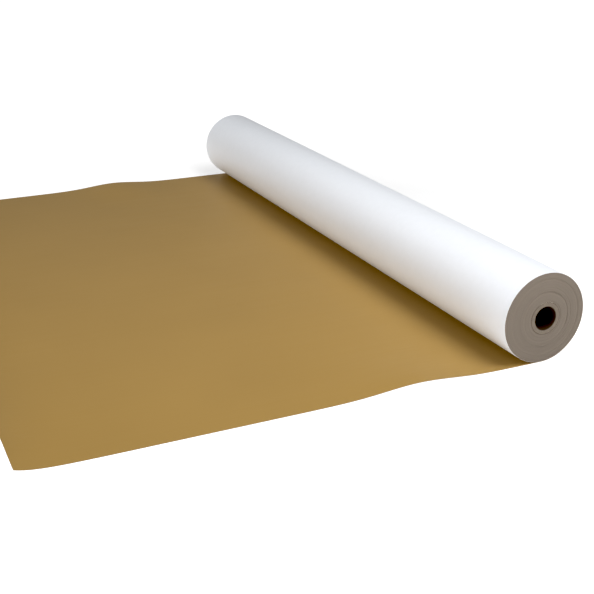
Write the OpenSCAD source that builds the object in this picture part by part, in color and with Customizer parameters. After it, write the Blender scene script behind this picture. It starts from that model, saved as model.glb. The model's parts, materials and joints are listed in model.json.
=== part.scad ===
// Roll of sign vinyl lying on a floor, with the leading end of its web unrolled.
// Millimetres. The origin is the middle of the hole through the core.
// The roll's axis lies along Y, the unrolled end runs towards -X and +Z is up,
// so the floor is at z = -roll_d / 2.
// The web is wound with its coloured face inwards. From the floor up, the unrolled
// end is paper liner, adhesive and vinyl film.

/* [Web] */
// Width of the web, which is the length of the roll
web_w = 1260; // [300:10:1600]
// Thickness of the coloured vinyl film
film_t = 0.10; // [0.06:0.01:0.15]
// Thickness of the adhesive between the film and its liner
adhesive_t = 0.02; // [0.02:0.01:0.04]
// Thickness of the paper release liner
liner_t = 0.15; // [0.10:0.01:0.20]

/* [Roll] */
// Diameter of the wound roll, with its outermost turn
roll_d = 146; // [100:1:200]
// Colour of the vinyl film
film_colour = "#a58550"; // ["#a58550", "#b32228", "#1f4e9e", "#2b2b2b"]

/* [Core] */
// Diameter of the hole through the core
core_bore_d = 38; // [30:0.5:50]
// Thickness of each of the smooth kraft plies, inside and outside
kraft_ply_t = 0.5; // [0.3:0.1:0.8]
// Thickness of each coreboard ply
board_ply_t = 1.0; // [0.6:0.1:1.2]
// Number of coreboard plies
board_plies = 6; // [3:1:8]

/* [Start tape] */
// Width of the tape that holds the first turn to the core
tape_w = 25; // [12:1:40]
// Thickness of the tape
tape_t = 0.10; // [0.06:0.01:0.15]

/* [Unrolled end] */
// Distance from the roll's axis to the free edge of the unrolled end
tail_reach = 805; // [300:5:1200]
// Length of the flat stretch of web that stays beside the roll as it travels
lift_off_flat = 20; // [15:1:60]
// Angle by which the web follows the roll's underside before it joins the outer turn
lift_off_wrap = 30; // [15:1:55]

/* [Hidden] */
$fn = 180;
web_t = film_t + adhesive_t + liner_t;
roll_r = roll_d / 2;
// Running gap between the turning roll and the web that lies under it
roll_gap = 0.3;
// Largest angle between the flat steps of a bent layer
wrap_step = 3;

// Radii of the surfaces between the layers, from the hole outwards
core_bore_r = core_bore_d / 2;
board_r = core_bore_r + kraft_ply_t;
board_out_r = board_r + board_plies * board_ply_t;
core_r = board_out_r + kraft_ply_t;
turning_r = roll_r - web_t - roll_gap;
wound_r = turning_r - web_t;

// The start tape is centred on the top of the core, and the middle of each step touches it
tape_angle = tape_w / core_r * 180 / PI;
tape_from = 90 - tape_angle / 2;
tape_to = 90 + tape_angle / 2;
tape_steps = ceil(tape_angle / wrap_step);
tape_r = core_r / cos(tape_angle / tape_steps / 2);

kraft_colour = "#b39a78";
board_colour = "#8f8373";
tape_colour = "#e8e2d0";
wound_colour = "#887c6e";
adhesive_colour = "#e9e6da";
liner_colour = "#eceef2";

board_nodes = [for (i = [1 : board_plies]) str("core_board_ply_", i)];

// Turns a shape drawn in X and Z into a solid as long as the roll
module across_web() {
    rotate([90, 0, 0])
        linear_extrude(height = web_w, center = true)
            children();
}

// A ring in X and Z, from one radius out to another
module ring(r_in, r_out) {
    difference() {
        circle(r = r_out);
        circle(r = r_in);
    }
}

// Points along an arc about the axis, in even steps from one angle to another
function arc_points(r, from, to, steps) =
    [for (i = [0 : steps]) let (a = from + (to - from) * i / steps) [r * cos(a), r * sin(a)]];

// One tube of the core or of the wound web
module sleeve(r_in, r_out) {
    across_web()
        ring(r_in, r_out);
}

// One layer where the web lifts off: flat beside the roll, then round its underside.
// It turns in small flat steps, at the same angles in every layer, so the layers nest.
module lift_off_layer(r_in, r_out) {
    wrap_end = lift_off_wrap - 90;
    steps = ceil(lift_off_wrap / wrap_step);
    across_web()
        polygon(concat(
            [[-lift_off_flat, -r_out]],
            arc_points(r_out, -90, wrap_end, steps),
            arc_points(r_in, wrap_end, -90, steps),
            [[-lift_off_flat, -r_in]]
        ));
}

// One layer of the unrolled end, lying flat
module tail_layer(r_in, r_out) {
    translate([-tail_reach, -web_w / 2, -r_out])
        cube([tail_reach - lift_off_flat, web_w, r_out - r_in]);
}

// Smooth kraft ply that lines the hole
module core_inner_ply() {
    color(kraft_colour)
        sleeve(core_bore_r, board_r);
}

// Coreboard ply number i, counted from the inside
module core_board_ply(i) {
    color(board_colour)
        sleeve(board_r + (i - 1) * board_ply_t, board_r + i * board_ply_t);
}

// Smooth kraft ply that the web is wound on
module core_outer_ply() {
    color(kraft_colour)
        sleeve(board_out_r, core_r);
}

// Double-sided tape along the whole core, under the first turn, bent in small flat steps
module start_tape() {
    color(tape_colour)
        across_web()
            polygon(concat(
                arc_points(tape_r, tape_from, tape_to, tape_steps),
                arc_points(tape_r + tape_t, tape_to, tape_from, tape_steps)
            ));
}

// All the turns of film, adhesive and liner under the outermost one, as one ring
// with a recess where the first turn lies over the start tape
module wound_turns() {
    color(wound_colour)
        across_web()
            difference() {
                ring(core_r, wound_r);
                polygon(concat([[0, 0]], arc_points(tape_r + tape_t, tape_from, tape_to, tape_steps)));
            }
}

// The outermost turn of the roll, with the film inside and the liner outside
module outer_turn_film() {
    color(film_colour)
        sleeve(wound_r, wound_r + film_t);
}

module outer_turn_adhesive() {
    color(adhesive_colour)
        sleeve(wound_r + film_t, turning_r - liner_t);
}

module outer_turn_liner() {
    color(liner_colour)
        sleeve(turning_r - liner_t, turning_r);
}

// The stretch of web that is just leaving the roll
module lift_off_film() {
    color(film_colour)
        lift_off_layer(roll_r - web_t, roll_r - liner_t - adhesive_t);
}

module lift_off_adhesive() {
    color(adhesive_colour)
        lift_off_layer(roll_r - liner_t - adhesive_t, roll_r - liner_t);
}

module lift_off_liner() {
    color(liner_colour)
        lift_off_layer(roll_r - liner_t, roll_r);
}

// The unrolled end, from beside the roll to the free edge
module tail_film() {
    color(film_colour)
        tail_layer(roll_r - web_t, roll_r - liner_t - adhesive_t);
}

module tail_adhesive() {
    color(adhesive_colour)
        tail_layer(roll_r - liner_t - adhesive_t, roll_r - liner_t);
}

module tail_liner() {
    color(liner_colour)
        tail_layer(roll_r - liner_t, roll_r);
}

core_inner_ply();
for (i = [1 : board_plies])
    core_board_ply(i);
core_outer_ply();
start_tape();
wound_turns();
outer_turn_film();
outer_turn_adhesive();
outer_turn_liner();
lift_off_film();
lift_off_adhesive();
lift_off_liner();
tail_film();
tail_adhesive();
tail_liner();
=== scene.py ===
"""Looks for a roll of sign vinyl with its leading end unrolled on the floor.

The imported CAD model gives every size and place. Lengths are in metres, in the model's own
frame: Y along the roll, the unrolled end towards -X, and the floor under everything.
"""

import json
import math

import bpy
import numpy as np
from mathutils import Matrix, Vector


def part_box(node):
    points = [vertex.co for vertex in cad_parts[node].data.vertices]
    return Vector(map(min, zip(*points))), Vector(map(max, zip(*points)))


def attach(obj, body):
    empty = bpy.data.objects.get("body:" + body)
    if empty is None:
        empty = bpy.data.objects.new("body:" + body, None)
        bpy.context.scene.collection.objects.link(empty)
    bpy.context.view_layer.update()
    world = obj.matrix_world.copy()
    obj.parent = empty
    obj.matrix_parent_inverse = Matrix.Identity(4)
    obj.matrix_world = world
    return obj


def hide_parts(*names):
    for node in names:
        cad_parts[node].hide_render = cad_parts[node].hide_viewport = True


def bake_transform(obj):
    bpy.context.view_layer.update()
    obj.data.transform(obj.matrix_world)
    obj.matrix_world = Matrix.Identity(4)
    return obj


bl_info = {
    "name": "Roll of sign vinyl",
    "version": (1, 0, 0),
    "blender": (4, 5, 0),
    "location": "3D View > Sidebar > Sign vinyl",
    "description": "Builds the visible pieces of a partly unrolled roll of sign vinyl",
    "category": "Add Mesh",
}

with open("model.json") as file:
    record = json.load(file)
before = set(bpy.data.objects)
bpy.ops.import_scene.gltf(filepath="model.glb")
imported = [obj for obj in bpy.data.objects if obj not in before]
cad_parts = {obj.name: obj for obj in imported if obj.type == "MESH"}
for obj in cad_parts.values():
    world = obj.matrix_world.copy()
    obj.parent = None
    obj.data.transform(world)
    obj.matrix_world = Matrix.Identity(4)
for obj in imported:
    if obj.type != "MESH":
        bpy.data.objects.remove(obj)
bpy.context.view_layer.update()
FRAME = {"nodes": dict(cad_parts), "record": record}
MM = 0.001


# ---------------------------------------------------------------- sizes from the frame


def outer_radius(cad_node):
    """Outside radius of a tube whose axis is Y."""
    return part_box(cad_node)[1].x


MOUNTS = {mount["name"]: mount for mount in FRAME["record"]["mounts"]}
BORE_R = MOUNTS["core_bore"]["dims"]["r_mm"] * MM
BOARD_PLIES = sorted(name for name in FRAME["nodes"] if name.startswith("core_board_ply_"))
SMOOTH_PLIES = ("core_inner_ply", "core_outer_ply")
CORE_PLIES = (SMOOTH_PLIES[0], *BOARD_PLIES, SMOOTH_PLIES[1])
CORE_R = outer_radius("core_outer_ply")
WOUND_R = outer_radius("wound_turns")
TURNING_R = outer_radius("outer_turn_liner")
HALF_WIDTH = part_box("outer_turn_liner")[1].y
FLOOR_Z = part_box("tail_liner")[0].z
ROLL_R = -FLOOR_Z
FREE_EDGE_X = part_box("tail_liner")[0].x
WRAP_ANGLE = math.asin(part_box("lift_off_liner")[1].x / ROLL_R)
WEB_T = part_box("tail_film")[1].z - FLOOR_Z
LAYERS = ("liner", "adhesive", "film")

# Attribute that holds each point's place at rest
REST_PLACE = "rest_place"
# Two faces that meet at more than this angle have an edge between them
SHARP_DEGREES = 40
# Steps round the roll's axis of a plain tube
TUBE_STEPS = 192
# Seed of each random draw
SEEDS = {
    "saw": 5, "turn ends": 11, "near end waves": 19, "far end waves": 21, "bands": 3, "dents": 4,
    "curl": 7, "waves along": 8, "waves across": 9,
}


# ---------------------------------------------------------------- settings a user would change


def linear(colour):
    """Turns an sRGB hex colour such as #a58550 into the three linear values Blender works in."""
    srgb = np.array([int(colour[i : i + 2], 16) for i in (1, 3, 5)]) / 255
    return tuple(np.where(srgb <= 0.04045, srgb / 12.92, ((srgb + 0.055) / 1.055) ** 2.4))


def colour_property(name, description, colour):
    """A colour setting whose default is an sRGB hex colour."""
    return bpy.props.FloatVectorProperty(
        name=name, description=description, subtype="COLOR", min=0, max=1, default=linear(colour)
    )


class SignVinylSizes(bpy.types.PropertyGroup):
    """How the unrolled end lies, and how the ends of the roll look."""

    free_edge_curl: bpy.props.FloatProperty(
        name="Free edge curl",
        description="Height to which the cut end curls up off the floor",
        default=12 * MM, min=0, max=40 * MM, unit="LENGTH",
    )
    curl_length: bpy.props.FloatProperty(
        name="Curl length",
        description="Distance over which the curl falls to about a third of its height",
        default=26 * MM, min=5 * MM, max=80 * MM, unit="LENGTH",
    )
    edge_lift: bpy.props.FloatProperty(
        name="Edge lift",
        description="Height of the ripple in each long edge",
        default=8.3 * MM, min=0, max=20 * MM, unit="LENGTH",
    )
    slack_depth: bpy.props.FloatProperty(
        name="Slack ring depth",
        description="Depth of the rings in the roll's ends where turns have slipped",
        default=1.2 * MM, min=0, max=3 * MM, unit="LENGTH",
    )
    telescoping: bpy.props.FloatProperty(
        name="Telescoping",
        description="How far the core and the first turns have slipped along the axis",
        default=2.5 * MM, min=0, max=10 * MM, unit="LENGTH",
    )


class SignVinylColours(bpy.types.PropertyGroup):
    """Colours of the web, the core and the stage."""

    film: colour_property("Film", "Coloured face of the vinyl", "#a8874d")
    liner: colour_property("Liner", "Outside of the release paper", "#eef1f6")
    adhesive: colour_property("Adhesive", "Clear adhesive seen at a cut edge", "#e6e2d2")
    wound_edge: colour_property("Wound edges", "Slit edges of all the turns together", "#7f7468")
    board: colour_property("Coreboard", "Raw coreboard plies", "#82776a")
    # Painted shade: the kraft colour is kraft brown made far darker, to stand for the shade inside the bore.
    # It darkens both kraft plies, ends included.
    kraft: colour_property("Kraft ply", "Smooth kraft plies of the core", "#412f1d")
    floor: colour_property("Floor", "Floor of the studio", "#cfcfcf")


# ---------------------------------------------------------------- meshes


def put_mesh(name, points, faces):
    """Makes a closed mesh object at the origin, with each point's place at rest as an attribute.

    If the signed volume of the faces is negative, every face is turned over.
    """
    first, second, third, fourth = (points[faces[:, corner]] for corner in range(4))
    volume = np.einsum("ij,ij->", first, np.cross(second, third) + np.cross(third, fourth))
    if volume < 0:
        faces = faces[:, ::-1]
    mesh = bpy.data.meshes.new(name)
    mesh.from_pydata(points, [], faces.tolist())
    rest = mesh.attributes.new(REST_PLACE, "FLOAT_VECTOR", "POINT")
    rest.data.foreach_set("vector", np.ascontiguousarray(points, dtype=np.float32).ravel())
    mesh.shade_smooth()
    mesh.set_sharp_from_angle(angle=math.radians(SHARP_DEGREES))
    made = bpy.data.objects.new(name, mesh)
    bpy.context.scene.collection.objects.link(made)
    return made


def quads(index, wrapped=False):
    """The four-cornered faces of a grid of point numbers, closed on itself both ways if wrapped."""
    if wrapped:
        index = np.pad(index, ((0, 1), (0, 1)), mode="wrap")
    corners = index[:-1, :-1], index[1:, :-1], index[1:, 1:], index[:-1, 1:]
    return np.stack([corner.ravel() for corner in corners], axis=1)


def turned_tube(name, radius, along, steps=TUBE_STEPS):
    """A closed profile carried once round the Y axis.

    radius and along are the profile's distance from the axis and its place on the axis. Each is a row of
    numbers, or a table with one row for each step round the axis. A point is
    (radius cos a, along, radius sin a).
    """
    angle = np.arange(steps)[:, None] * 2 * np.pi / steps
    radius, along = (np.broadcast_to(v, (steps, np.shape(v)[-1])) for v in (radius, along))
    points = np.stack([radius * np.cos(angle), along, radius * np.sin(angle)], axis=-1)
    index = np.arange(radius.size).reshape(radius.shape)
    return put_mesh(name, points.reshape(-1, 3), quads(index, wrapped=True))


def slab(name, lower, upper):
    """A closed sheet between two grids of points of the same shape, with a rim of one face all round."""
    under = np.arange(lower[..., 0].size).reshape(lower.shape[:2])
    over = under + under.size
    first_row, last_row, first_column, last_column = (
        quads(np.stack([under[edge], over[edge]]))
        for edge in ((0,), (-1,), (slice(None), 0), (slice(None), -1))
    )
    faces = np.concatenate([
        quads(over), quads(under)[:, ::-1],
        first_row, last_row[:, ::-1], first_column[:, ::-1], last_column,
    ])
    return put_mesh(name, np.concatenate([lower.reshape(-1, 3), upper.reshape(-1, 3)]), faces)


def wander(x, length, seed):
    """A smooth wandering curve between about -1 and 1.

    It is the sum of five sine waves, each shorter and lower than the one before.
    """
    draw = np.random.default_rng(seed)
    number = np.arange(5)
    waves = length / (1 + 0.7 * number + 0.3 * draw.random(number.size))
    phases = draw.random(number.size) * 2 * np.pi
    heights = 0.62**number
    arguments = np.asarray(x)[..., None] * 2 * np.pi / waves + phases
    return (np.sin(arguments) * heights).sum(-1) / heights.sum()


def bump_at(x, centre, spread):
    """A bell curve of height one."""
    return np.exp(-(((x - centre) / spread) ** 2))


def smooth_step(x, start, end):
    """Rises from 0 at start to 1 at end, level at both."""
    t = np.clip((x - start) / (end - start), 0, 1)
    return t * t * (3 - 2 * t)


def telescoped(radius, sizes):
    """How far a turn of this radius has slipped towards the near end.

    It is the whole slip at the core, and none in the outer fifth of the roll.
    """
    return sizes.telescoping * (1 - smooth_step(radius, CORE_R, 0.8 * WOUND_R))


# ---------------------------------------------------------------- materials


def fill(tree, target, inputs):
    """Fills each named input of a node with a value or a link."""
    for name, value in inputs.items():
        if isinstance(value, bpy.types.NodeSocket):
            tree.links.new(value, target.inputs[name])
        else:
            target.inputs[name].default_value = value


def node(tree, kind, inputs=None, **settings):
    """Adds a node, sets its properties and fills its inputs."""
    made = tree.nodes.new(kind)
    for name, value in settings.items():
        setattr(made, name, value)
    fill(tree, made, inputs or {})
    return made


def new_material(name):
    """An empty material: (material, tree, shader, place), where place is the surface's place at rest."""
    material = bpy.data.materials.new(name)
    material.use_nodes = True
    tree = material.node_tree
    place = node(tree, "ShaderNodeAttribute", attribute_name=REST_PLACE).outputs["Vector"]
    return material, tree, tree.nodes["Principled BSDF"], place


def per(millimetres):
    """How many marks lie in a metre when they are this many millimetres apart."""
    return 1 / (millimetres * MM)


def shades(tree, factor, colour, darkest, lightest):
    """The colour times a number that runs from darkest to lightest as factor goes from 0 to 1."""
    amount = node(tree, "ShaderNodeMapRange", {"Value": factor, "To Min": darkest, "To Max": lightest})
    inputs = {0: tuple(colour), 1: amount.outputs["Result"]}
    return node(tree, "ShaderNodeVectorMath", inputs, operation="MULTIPLY").outputs["Vector"]


def film_material(colour):
    """Calendered PVC film: a satin skin with a very fine grain, and faint streaks along the web."""
    material, tree, shader, place = new_material("calendered_vinyl_film")
    cloud = node(tree, "ShaderNodeTexNoise", {"Vector": place, "Scale": per(200)}).outputs["Fac"]
    # The rolls of the calender leave streaks along X, 4 mm apart and half a metre long
    streak_scale = (per(500), per(4), per(4))
    squeezed = node(tree, "ShaderNodeMapping", {"Vector": place, "Scale": streak_scale}).outputs["Vector"]
    streak = node(tree, "ShaderNodeTexNoise", {"Vector": squeezed, "Scale": 1.0}).outputs["Fac"]
    rough = node(tree, "ShaderNodeMapRange", {"Value": streak, "To Min": 0.40, "To Max": 0.48})
    # The grain is about 0.3 mm, and is drawn at 2 mm so that it shows at this distance
    grain = node(tree, "ShaderNodeTexNoise", {"Vector": place, "Scale": per(2)}).outputs["Fac"]
    bump = node(tree, "ShaderNodeBump", {"Height": grain, "Strength": 0.05, "Distance": 0.5 * MM})
    fill(tree, shader, {
        "Base Color": shades(tree, cloud, colour, 0.95, 1.05),
        "Roughness": rough.outputs["Result"],
        "IOR": 1.54,
        # Mica flakes in the gold pigment warm the gloss where it is seen from above
        "Specular Tint": (1.0, 0.8, 0.4, 1.0),
        "Normal": bump.outputs["Normal"],
    })
    return material


def liner_material(colour):
    """Coated release paper: white and smooth, with the faint mottle of the fibres under the coating."""
    material, tree, shader, place = new_material("coated_release_paper")
    inputs = {"Vector": place, "Scale": per(11), "Detail": 4.0}
    mottle = node(tree, "ShaderNodeTexNoise", inputs).outputs["Fac"]
    inputs = {"Vector": place, "Scale": per(4), "Detail": 3.0}
    fibre = node(tree, "ShaderNodeTexNoise", inputs).outputs["Fac"]
    bump = node(tree, "ShaderNodeBump", {"Height": fibre, "Strength": 0.06, "Distance": 0.6 * MM})
    fill(tree, shader, {
        "Base Color": shades(tree, mottle, colour, 0.97, 1.02),
        "Roughness": 0.48,
        "IOR": 1.5,
        "Normal": bump.outputs["Normal"],
    })
    return material


def adhesive_material(colour):
    """Acrylic pressure-sensitive adhesive: clear, slightly yellow and tacky, so smooth and shiny."""
    material, tree, shader, place = new_material("acrylic_adhesive")
    cloud = node(tree, "ShaderNodeTexNoise", {"Vector": place, "Scale": per(8)}).outputs["Fac"]
    fill(tree, shader, {
        "Base Color": shades(tree, cloud, colour, 0.94, 1.04), "Roughness": 0.3, "IOR": 1.47,
    })
    return material


def wound_edge_material(colour):
    """Slit edges of film and paper wound on each other: a grey-beige face of very fine rings.

    Both noises read the distance from the roll's axis and nothing else, so they draw rings.
    """
    material, tree, shader, place = new_material("slit_web_edges")
    flat = node(tree, "ShaderNodeVectorMath", {0: place, 1: (1, 0, 1)}, operation="MULTIPLY")
    distance = node(tree, "ShaderNodeVectorMath", {0: flat.outputs["Vector"]}, operation="LENGTH")
    spot = node(tree, "ShaderNodeCombineXYZ", {"X": distance.outputs["Value"]}).outputs["Vector"]
    # Turns are 0.27 mm apart, too fine to show, so the fine rings are drawn 1.25 mm apart
    inputs = {"Vector": spot, "Scale": per(1.25), "Detail": 1.0}
    fine = node(tree, "ShaderNodeTexNoise", inputs).outputs["Fac"]
    broad = node(tree, "ShaderNodeTexNoise", {"Vector": spot, "Scale": per(7)}).outputs["Fac"]
    rings = node(tree, "ShaderNodeMix", {0: 0.5, 2: fine, 3: broad}, data_type="FLOAT").outputs[0]
    bump = node(tree, "ShaderNodeBump", {"Height": fine, "Strength": 0.4, "Distance": 0.4 * MM})
    fill(tree, shader, {
        "Base Color": shades(tree, rings, colour, 0.74, 1.26),
        "Roughness": 0.72,
        "Normal": bump.outputs["Normal"],
    })
    return material


def paper_material(name, colour, fibre_millimetres):
    """Uncoated paper or board: matt, with short fibres and darker specks."""
    material, tree, shader, place = new_material(name)
    inputs = {"Vector": place, "Scale": per(fibre_millimetres), "Detail": 5.0}
    fibre = node(tree, "ShaderNodeTexNoise", inputs).outputs["Fac"]
    bump = node(tree, "ShaderNodeBump", {"Height": fibre, "Strength": 0.35, "Distance": 0.5 * MM})
    fill(tree, shader, {
        "Base Color": shades(tree, fibre, colour, 0.72, 1.25),
        "Roughness": 0.88,
        "Normal": bump.outputs["Normal"],
    })
    return material


def web_materials(colours):
    """The material of each layer of the web, made the first time it is asked for."""
    makers = (
        ("film", "calendered_vinyl_film", film_material),
        ("adhesive", "acrylic_adhesive", adhesive_material),
        ("liner", "coated_release_paper", liner_material),
    )
    return {
        layer: bpy.data.materials.get(name) or maker(getattr(colours, layer))
        for layer, name, maker in makers
    }


# ---------------------------------------------------------------- pieces


def finish_piece(piece, material, cad_nodes):
    """Gives a piece its material, and hides the CAD nodes that it stands for."""
    piece.data.materials.append(material)
    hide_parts(*cad_nodes)


class SIGNVINYL_OT_core(bpy.types.Operator):
    """Builds the core: a smooth ply inside and outside, and coreboard plies between them"""

    bl_idname = "sign_vinyl.core"
    bl_label = "Core"

    # How far the corners of each ply's ends are cut back
    CORNER = 0.1 * MM
    # The saw leaves each ply's end up to twice this much short of the web's, in a wave over this many plies
    SAW_SLIP = 0.12 * MM
    SAW_WAVE = 2.3
    # The inner ply is wound as a spiral: one turn in each pitch, with a groove between its edges
    SEAM_PITCH = 70 * MM
    SEAM_DEPTH = 0.25 * MM
    SEAM_WIDTH = 0.8 * MM
    # The groove is drawn as deep in the hole as can be seen, from the first distance from the web's edge to
    # the second, in this many rows
    SEEN = (0.4 * MM, 80 * MM)
    SEEN_ROWS = 90

    def execute(self, context):
        sizes, colours = context.scene.sign_vinyl_sizes, context.scene.sign_vinyl_colours
        # Both kraft plies take the darkened kraft colour, which is painted shade standing for the unlit bore
        kraft = paper_material("kraft_paper", colours.kraft, 2.4)
        board = paper_material("coreboard", colours.board, 3.3)
        inside = BORE_R
        for number, ply in enumerate(CORE_PLIES):
            outside = outer_radius(ply)
            half_length = HALF_WIDTH - self.SAW_SLIP * (1 + wander(number, self.SAW_WAVE, SEEDS["saw"]))
            bore = self.spiral_seam() if number == 0 else None
            radius, along = self.wall(inside, outside, half_length, bore)
            piece = turned_tube(ply + "_tube", radius, along - telescoped(outside, sizes))
            material, slot = (kraft, "kraft_ply") if ply in SMOOTH_PLIES else (board, "core_board")
            finish_piece(piece, material, [ply])
            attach(piece, "roll")
            inside = outside
        return {"FINISHED"}

    @classmethod
    def wall(cls, inside, outside, half_length, bore=None):
        """Profile of a tube's wall with its corners cut back: (distances, places along the axis).

        bore may give more points for the inner wall: their places along the axis, and a table of their
        distances with one row for each step round the axis.
        """
        places, distances = bore or (np.empty(0), np.empty((1, 0)))
        steps = distances.shape[0]
        face_in, face_out = inside + cls.CORNER, outside - cls.CORNER
        side = half_length - cls.CORNER
        rim_r = np.tile([face_in, face_out, outside, outside, face_out, face_in], (steps, 1))
        rim_y = [half_length, half_length, side, -side, -half_length, -half_length]
        ends = np.full((steps, 1), inside)
        radius = np.concatenate([ends, distances, ends, rim_r], axis=1)
        return radius, np.concatenate([[-side], places, [side], rim_y])

    @classmethod
    def spiral_seam(cls):
        """Inner wall of a spirally wound ply: a bell-shaped groove where the edges of the strip meet.

        The seam goes once round in each pitch. A point's distance from it is its way round the bore, times
        the sine of the seam's lead. Rows are close together near the two ends, which can be seen into.
        """
        seen = HALF_WIDTH - np.linspace(*cls.SEEN, cls.SEEN_ROWS)
        y = np.concatenate([-seen, seen[::-1]])
        turns = np.arange(TUBE_STEPS)[:, None] / TUBE_STEPS
        turns_away = (turns - y / cls.SEAM_PITCH + 0.5) % 1 - 0.5
        lead = math.atan(cls.SEAM_PITCH / (2 * math.pi * BORE_R))
        distance = turns_away * 2 * np.pi * BORE_R * math.sin(lead)
        return y, BORE_R + cls.SEAM_DEPTH * bump_at(distance, 0, cls.SEAM_WIDTH)


class SIGNVINYL_OT_start_tape(bpy.types.Operator):
    """Builds the tape that holds the first turn to the core"""

    bl_idname = "sign_vinyl.start_tape"
    bl_label = "Start tape"

    # Heights of the tape's two faces over the core
    FACES = (0.01 * MM, 0.1 * MM)
    # How far each end of the tape stops short of the web's
    SHORT = 0.25 * MM

    def execute(self, context):
        sizes, colours = context.scene.sign_vinyl_sizes, context.scene.sign_vinyl_colours
        half_angle = math.asin(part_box("start_tape")[1].x / CORE_R)
        across = np.linspace(math.pi / 2 - half_angle, math.pi / 2 + half_angle, 24)
        along = np.array([-1, 1]) * (HALF_WIDTH - self.SHORT) - telescoped(CORE_R, sizes)
        angle, y = np.meshgrid(across, along, indexing="ij")
        lower, upper = (
            np.stack([(CORE_R + face) * np.cos(angle), y, (CORE_R + face) * np.sin(angle)], axis=-1)
            for face in self.FACES
        )
        piece = slab("start_tape_strip", lower, upper)
        tape = paper_material("tape_tissue", colours.adhesive, 5)
        finish_piece(piece, tape, ["start_tape"])
        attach(piece, "roll")
        return {"FINISHED"}


class SIGNVINYL_OT_wound_turns(bpy.types.Operator):
    """Builds the wound turns, with a ridge for the edge of every turn on both ends of the roll"""

    bl_idname = "sign_vinyl.wound_turns"
    bl_label = "Wound turns"

    # Steps round the axis
    ANGLE_STEPS = 120
    # Height of the ridge at the edge of a turn, how unevenly the turns end, and the depth and the length of
    # the broad waves in the face
    RIDGE = 0.05 * MM
    UNEVEN = 0.08 * MM
    WAVE_DEPTH = 0.2 * MM
    WAVE_LENGTH = 12 * MM

    # Where turns have slipped or lie slack: share of the roll's radius, share of the slack depth, width in
    # millimetres, and the direction in degrees in which the ring is deepest
    SLACK_RINGS = (
        (0.385, 0.7, 0.9, 0),
        (0.57, 1.0, 1.1, 60),
        (0.66, 0.6, 0.9, -20),
        (0.85, 0.75, 1.2, 10),
        (0.95, 0.4, 0.8, -50),
    )

    # Where a few turns stand proud: share of the roll's radius, height in millimetres, and the direction and
    # half-length of the stretch in degrees
    PROUD_TURNS = ((0.72, 0.9, -44, 12), (0.62, 0.8, -94, 14), (0.59, 0.9, -12, 10), (0.9, 0.7, -30, 16))
    PROUD_WIDTH = 0.7 * MM

    def execute(self, context):
        sizes, colours = context.scene.sign_vinyl_sizes, context.scene.sign_vinyl_colours
        turns = round((WOUND_R - CORE_R) / WEB_T)
        radius = np.linspace(CORE_R, WOUND_R, 2 * turns + 1)
        draw = np.random.default_rng(SEEDS["turn ends"])
        near, far = (
            side * (HALF_WIDTH - self.hollows(radius, turns, draw, SEEDS[waves], sizes))
            for side, waves in ((-1, "near end waves"), (1, "far end waves"))
        )
        slipped = telescoped(radius, sizes)
        wide = np.broadcast_to(radius, near.shape)
        piece = turned_tube(
            "wound_turns_pack",
            np.concatenate([wide, wide[:, ::-1]], axis=1),
            np.concatenate([near - slipped, (far - slipped)[:, ::-1]], axis=1),
            self.ANGLE_STEPS,
        )
        finish_piece(piece, wound_edge_material(colours.wound_edge), ["wound_turns"])
        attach(piece, "roll")
        return {"FINISHED"}

    @classmethod
    def hollows(cls, radius, turns, draw, seed, sizes):
        """How far one end of the roll falls short of the web's width, for each direction and radius.

        Every second point is the edge of a turn, and the others lie in the gap between two turns. To that
        come an uneven end for each turn, broad waves, the slack rings, which are bell curves along the
        radius, and the proud turns, which are bell curves both along the radius and round the axis.
        """
        angle = np.arange(cls.ANGLE_STEPS)[:, None] * 2 * np.pi / cls.ANGLE_STEPS
        gap = np.where(np.arange(radius.size) % 2, 0.0, cls.RIDGE)
        slip = np.repeat(draw.random(turns + 1), 2)[: radius.size] * cls.UNEVEN
        waves = cls.WAVE_DEPTH * (1 + wander(radius, cls.WAVE_LENGTH, seed))
        depth = np.tile(gap + slip + waves, (cls.ANGLE_STEPS, 1))
        for share, deep, width, towards in cls.SLACK_RINGS:
            facing = 0.55 + 0.45 * np.cos(angle - math.radians(towards))
            depth += sizes.slack_depth * deep * facing * bump_at(radius, share * ROLL_R, width * MM)
        for share, height, towards, spread in cls.PROUD_TURNS:
            away = (np.degrees(angle) - towards + 180) % 360 - 180
            stretch = bump_at(away, 0, spread) * bump_at(radius, share * ROLL_R, cls.PROUD_WIDTH)
            depth -= height * MM * stretch
        return depth


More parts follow.
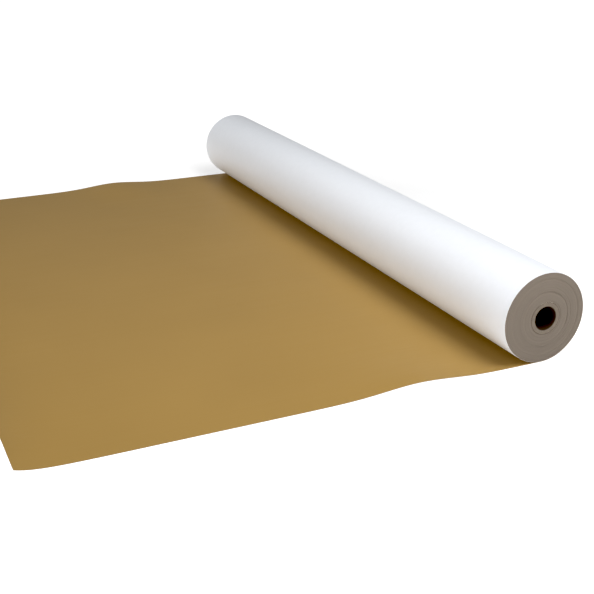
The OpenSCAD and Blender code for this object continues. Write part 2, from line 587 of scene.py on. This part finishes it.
class SIGNVINYL_OT_outer_turn(bpy.types.Operator):
    """Builds the outermost turn: film inside, adhesive, and the white liner outside"""

    bl_idname = "sign_vinyl.outer_turn"
    bl_label = "Outermost turn"

    # Rows along the roll, and steps round its axis
    ROWS = 160
    ANGLE_STEPS = 256
    # Depth of the soft bands that run round the roll and of the dents where it has been handled, their
    # lengths along the roll, and how far the dents shift along it
    BAND_DEPTH = 0.1 * MM
    DENT_DEPTH = 0.12 * MM
    BAND_LENGTH = 320 * MM
    DENT_LENGTH = 550 * MM
    DENT_SHIFT = 110 * MM

    def execute(self, context):
        materials = web_materials(context.scene.sign_vinyl_colours)
        inside = WOUND_R
        for layer in reversed(LAYERS):
            outside = outer_radius("outer_turn_" + layer)
            piece = self.turn("outer_turn_" + layer + "_sleeve", inside, outside)
            finish_piece(piece, materials[layer], ["outer_turn_" + layer])
            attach(piece, "roll")
            inside = outside
        return {"FINISHED"}

    @classmethod
    def turn(cls, name, inside, outside):
        """A thin tube whose radius falls a little in soft bands and in dents.

        Both are wandering curves along Y. The bands run all the way round. The dents lie on two opposite
        sides, and their places along Y shift with the angle.
        """
        y = np.linspace(-HALF_WIDTH, HALF_WIDTH, cls.ROWS)
        angle = np.arange(cls.ANGLE_STEPS)[:, None] * 2 * np.pi / cls.ANGLE_STEPS
        shifted = y + cls.DENT_SHIFT * np.sin(angle + 1)
        band = 0.5 + 0.5 * wander(y, cls.BAND_LENGTH, SEEDS["bands"])
        dent = 0.5 + 0.5 * wander(shifted, cls.DENT_LENGTH, SEEDS["dents"])
        fall = cls.BAND_DEPTH * band + cls.DENT_DEPTH * dent * (0.5 + 0.5 * np.cos(2 * angle + 0.7))
        radius = np.concatenate([inside - fall, (outside - fall)[:, ::-1]], axis=1)
        return turned_tube(name, radius, np.concatenate([y, y[::-1]]), cls.ANGLE_STEPS)


class SIGNVINYL_OT_web(bpy.types.Operator):
    """Builds the unrolled end: film, adhesive and liner from the free edge to the roll's underside"""

    bl_idname = "sign_vinyl.web"
    bl_label = "Unrolled end"

    # Place along X and half-length of the ripple in each long edge, and how far the ripples reach inwards
    NEAR_RIPPLE = (-216 * MM, 78 * MM)
    FAR_RIPPLE = (-315 * MM, 72 * MM)
    RIPPLE_REACH = 110 * MM
    # Share of the free edge's curl that is left at its corners, and how far in from them it is less
    CORNER_CURL = 0.72
    CORNER_REACH = 90 * MM
    # Share by which the curl wanders across the web, and over what length
    CURL_WANDER = 0.1
    CURL_WAVE = 900 * MM
    # Half-height of the broad low waves in the rest, and their lengths along and across the web
    WAVE_HEIGHT = 0.3 * MM
    WAVE_ALONG = 420 * MM
    WAVE_ACROSS = 700 * MM
    # The web lies flat nearer to the roll's axis than the first distance, and is free past the second
    PRESSED_FLAT = (20 * MM, 150 * MM)
    # Share of the gap under the turning roll that the web's end draws in by, to join the outermost turn
    DRAWN_IN = 0.9
    # Rows of points along the flat stretch and round the roll's underside, and columns across the web
    FLAT_ROWS = 130
    WRAP_ROWS = 15
    COLUMNS = 150

    def execute(self, context):
        under, out = self.underside(context.scene.sign_vinyl_sizes)
        materials = web_materials(context.scene.sign_vinyl_colours)
        for layer in LAYERS:
            low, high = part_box("tail_" + layer)
            piece = slab("web_" + layer, under + out * (low.z - FLOOR_Z), under + out * (high.z - FLOOR_Z))
            finish_piece(piece, materials[layer], ["tail_" + layer, "lift_off_" + layer])
            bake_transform(piece)
        return {"FINISHED"}

    @classmethod
    def lift(cls, x, y, sizes):
        """Height of the web off the floor.

        The cut end curls up as a falling exponential, a little less at its corners. Each long edge has one
        ripple, a bell curve along the edge that fades inwards. Broad low waves cross the rest a little
        askew, and all of it dies away before the roll.
        """
        corner = smooth_step(HALF_WIDTH - np.abs(y), 0, cls.CORNER_REACH)
        share = cls.CORNER_CURL + (1 - cls.CORNER_CURL) * corner
        share += cls.CURL_WANDER * wander(y, cls.CURL_WAVE, SEEDS["curl"])
        height = sizes.free_edge_curl * share * np.exp((FREE_EDGE_X - x) / sizes.curl_length)
        for edge, ripple in ((-HALF_WIDTH, cls.NEAR_RIPPLE), (HALF_WIDTH, cls.FAR_RIPPLE)):
            height += sizes.edge_lift * bump_at(x, *ripple) * bump_at(y, edge, cls.RIPPLE_REACH)
        along = wander(x + 0.35 * y, cls.WAVE_ALONG, SEEDS["waves along"])
        across = wander(y - 0.2 * x, cls.WAVE_ACROSS, SEEDS["waves across"])
        height += cls.WAVE_HEIGHT * (1 + along * across)
        return height * smooth_step(-x, *cls.PRESSED_FLAT)

    @classmethod
    def underside(cls, sizes):
        """Grid of points on the web's underside, and the direction out of it at each.

        Along the web the grid is close near the free edge, where the web curls, and across the web it is
        close near the long edges. Past the line where the web lifts off, it follows the roll's underside and
        draws in to the outer turn.
        """
        lying = FREE_EDGE_X * (1 - np.linspace(0, 1, cls.FLAT_ROWS) ** 1.5)
        wrap = np.linspace(0, WRAP_ANGLE, cls.WRAP_ROWS + 1)[1:]
        y = HALF_WIDTH * np.sin(np.linspace(-0.5, 0.5, cls.COLUMNS) * np.pi)
        along, across = np.meshgrid(lying, y, indexing="ij")
        flat = np.stack([along, across, FLOOR_Z + cls.lift(along, across, sizes)], axis=-1)
        angle, wrap_y = np.meshgrid(wrap, y, indexing="ij")
        gap = ROLL_R - TURNING_R - WEB_T
        radius = ROLL_R - cls.DRAWN_IN * gap * smooth_step(angle, 0, WRAP_ANGLE)
        bent = np.stack([radius * np.sin(angle), wrap_y, -radius * np.cos(angle)], axis=-1)
        points = np.concatenate([flat, bent])
        out = np.cross(np.gradient(points, axis=0), np.gradient(points, axis=1))
        return points, out / np.linalg.norm(out, axis=-1, keepdims=True)


# ---------------------------------------------------------------- stage


class SIGNVINYL_OT_stage(bpy.types.Operator):
    """Sets up the floor, the lights and the camera"""

    bl_idname = "sign_vinyl.stage"
    bl_label = "Stage"

    FLOOR_HALF = 30.0
    # The floor lies this far under the liner
    FLOOR_GAP = 0.2 * MM
    # The lamps light the floor round the roll, and its own glow keeps it as pale further out: distances from
    # the middle of the roll, and the strength of the glow at each
    GLOW = {"From Min": 0.45, "From Max": 1.3, "To Min": 0.52, "To Max": 0.98}
    # Strength of the light from all round, and of the white that is seen past the floor's edge
    SURROUNDINGS = {"To Min": 0.15, "To Max": 1.0}
    # A touch of black level gives the contrast of a studio print
    BLACK_LEVEL = 0.02
    # Place, the point it faces, side of the square, and power in watts
    SOFTBOXES = {
        "near_softbox": ((0.3, -1.5, 1.5), (0.1, -0.8, 0), 1.0, 15.0),
        "overhead_softbox": ((0.3, -0.8, 1.9), (-0.05, -0.25, 0), 1.2, 23.2),
        "left_softbox": ((-3.0, -0.5, 0.9), (-0.1, -0.1, 0), 1.5, 40.5),
        "near_left_softbox": ((-2.5, -1.6, 1.0), (-0.1, -0.3, 0), 1.5, 2.5),
        "right_softbox": ((2.5, 0.5, 0.9), (-0.1, 0.0, 0), 1.5, 3.0),
        "back_softbox": ((0.5, 3.0, 1.2), (-0.1, 0.0, 0), 2.0, 3.5),
    }
    # The camera's place in roll radii from the middle of the roll's near end, and its angles in degrees: its
    # turn about Z, how far it looks down, and its tilt
    CAMERA_PLACE = (-13.495, -16.751, 8.621)
    CAMERA_ANGLES = (-25.025, 21.309, -0.067)
    CAMERA_LENS = 65.92
    CAMERA_SENSOR = 36.0

    def execute(self, context):
        scene = context.scene
        self.floor(scene)
        self.surroundings(scene)
        self.softboxes(scene)
        self.camera(scene)
        scene.view_settings.view_transform = "Standard"
        scene.view_settings.use_curve_mapping = True
        scene.view_settings.curve_mapping.black_level = (self.BLACK_LEVEL,) * 3
        return {"FINISHED"}

    @classmethod
    def floor(cls, scene):
        """A wide matt floor that glows where the lamps don't reach."""
        half, z = cls.FLOOR_HALF, FLOOR_Z - cls.FLOOR_GAP
        mesh = bpy.data.meshes.new("floor")
        mesh.from_pydata(
            [(-half, -half, z), (half, -half, z), (half, half, z), (-half, half, z)], [], [(0, 1, 2, 3)]
        )
        floor = bpy.data.objects.new("floor", mesh)
        scene.collection.objects.link(floor)
        material, tree, shader, _ = new_material("studio_floor")
        place = node(tree, "ShaderNodeTexCoord").outputs["Object"]
        distance = node(tree, "ShaderNodeVectorMath", {0: place}, operation="LENGTH").outputs["Value"]
        glow = node(tree, "ShaderNodeMapRange", {"Value": distance, **cls.GLOW})
        fill(tree, shader, {
            "Base Color": (*scene.sign_vinyl_colours.floor, 1),
            "Roughness": 0.9,
            "Specular IOR Level": 0.0,
            "Emission Color": (1, 1, 1, 1),
            "Emission Strength": glow.outputs["Result"],
        })
        floor.data.materials.append(material)

    @classmethod
    def surroundings(cls, scene):
        """A white studio that sheds only a faint light."""
        scene.world = bpy.data.worlds.new("studio")
        scene.world.use_nodes = True
        tree = scene.world.node_tree
        looked_at = node(tree, "ShaderNodeLightPath").outputs["Is Camera Ray"]
        strength = node(tree, "ShaderNodeMapRange", {"Value": looked_at, **cls.SURROUNDINGS})
        fill(tree, tree.nodes["Background"], {
            "Color": (1, 1, 1, 1), "Strength": strength.outputs["Result"],
        })

    @classmethod
    def softboxes(cls, scene):
        """Square area lamps, each turned to face a point."""
        for name, (place, target, size, power) in cls.SOFTBOXES.items():
            lamp = bpy.data.lights.new(name, "AREA")
            lamp.energy, lamp.size = power, size
            made = bpy.data.objects.new(name, lamp)
            scene.collection.objects.link(made)
            made.location = place
            made.rotation_euler = (Vector(place) - Vector(target)).to_track_quat("Z", "Y").to_euler()

    @classmethod
    def camera(cls, scene):
        """A camera whose axes are built from its angles: back, then right and up, tilted about back."""
        turn, dip, tilt = (math.radians(angle) for angle in cls.CAMERA_ANGLES)
        data = bpy.data.cameras.new("camera")
        data.sensor_width, data.lens = cls.CAMERA_SENSOR, cls.CAMERA_LENS
        data.clip_start, data.clip_end = 0.01, 100.0
        camera = bpy.data.objects.new("camera", data)
        scene.collection.objects.link(camera)
        place = Vector((0, -HALF_WIDTH, 0)) + Vector(cls.CAMERA_PLACE) * ROLL_R
        back = Vector((math.sin(turn) * math.cos(dip), -math.cos(turn) * math.cos(dip), math.sin(dip)))
        level = Vector((0, 0, 1)).cross(back).normalized()
        upright = back.cross(level)
        right = level * math.cos(tilt) + upright * math.sin(tilt)
        up = upright * math.cos(tilt) - level * math.sin(tilt)
        camera.matrix_world = Matrix.Translation(place) @ Matrix((right, up, back)).transposed().to_4x4()
        scene.camera = camera


class SIGNVINYL_PT_build(bpy.types.Panel):
    """Lists the settings and the steps of the build"""

    bl_idname = "SIGNVINYL_PT_build"
    bl_label = "Roll of sign vinyl"
    bl_space_type = "VIEW_3D"
    bl_region_type = "UI"
    bl_category = "Sign vinyl"

    def draw(self, context):
        for group in (context.scene.sign_vinyl_sizes, context.scene.sign_vinyl_colours):
            for name in group.__annotations__:
                self.layout.prop(group, name)
        for step in STEPS:
            self.layout.operator(step.bl_idname)


STEPS = (
    SIGNVINYL_OT_stage,
    SIGNVINYL_OT_core,
    SIGNVINYL_OT_start_tape,
    SIGNVINYL_OT_wound_turns,
    SIGNVINYL_OT_outer_turn,
    SIGNVINYL_OT_web,
)
CLASSES = (SignVinylSizes, SignVinylColours, *STEPS, SIGNVINYL_PT_build)


def register():
    for c in CLASSES:
        bpy.utils.register_class(c)
    bpy.types.Scene.sign_vinyl_sizes = bpy.props.PointerProperty(type=SignVinylSizes)
    bpy.types.Scene.sign_vinyl_colours = bpy.props.PointerProperty(type=SignVinylColours)


def unregister():
    del bpy.types.Scene.sign_vinyl_colours
    del bpy.types.Scene.sign_vinyl_sizes
    for c in reversed(CLASSES):
        bpy.utils.unregister_class(c)


def main():
    register()
    for step in STEPS:
        group, name = step.bl_idname.split(".")
        getattr(getattr(bpy.ops, group), name)()


if __name__ == "__main__":
    main()
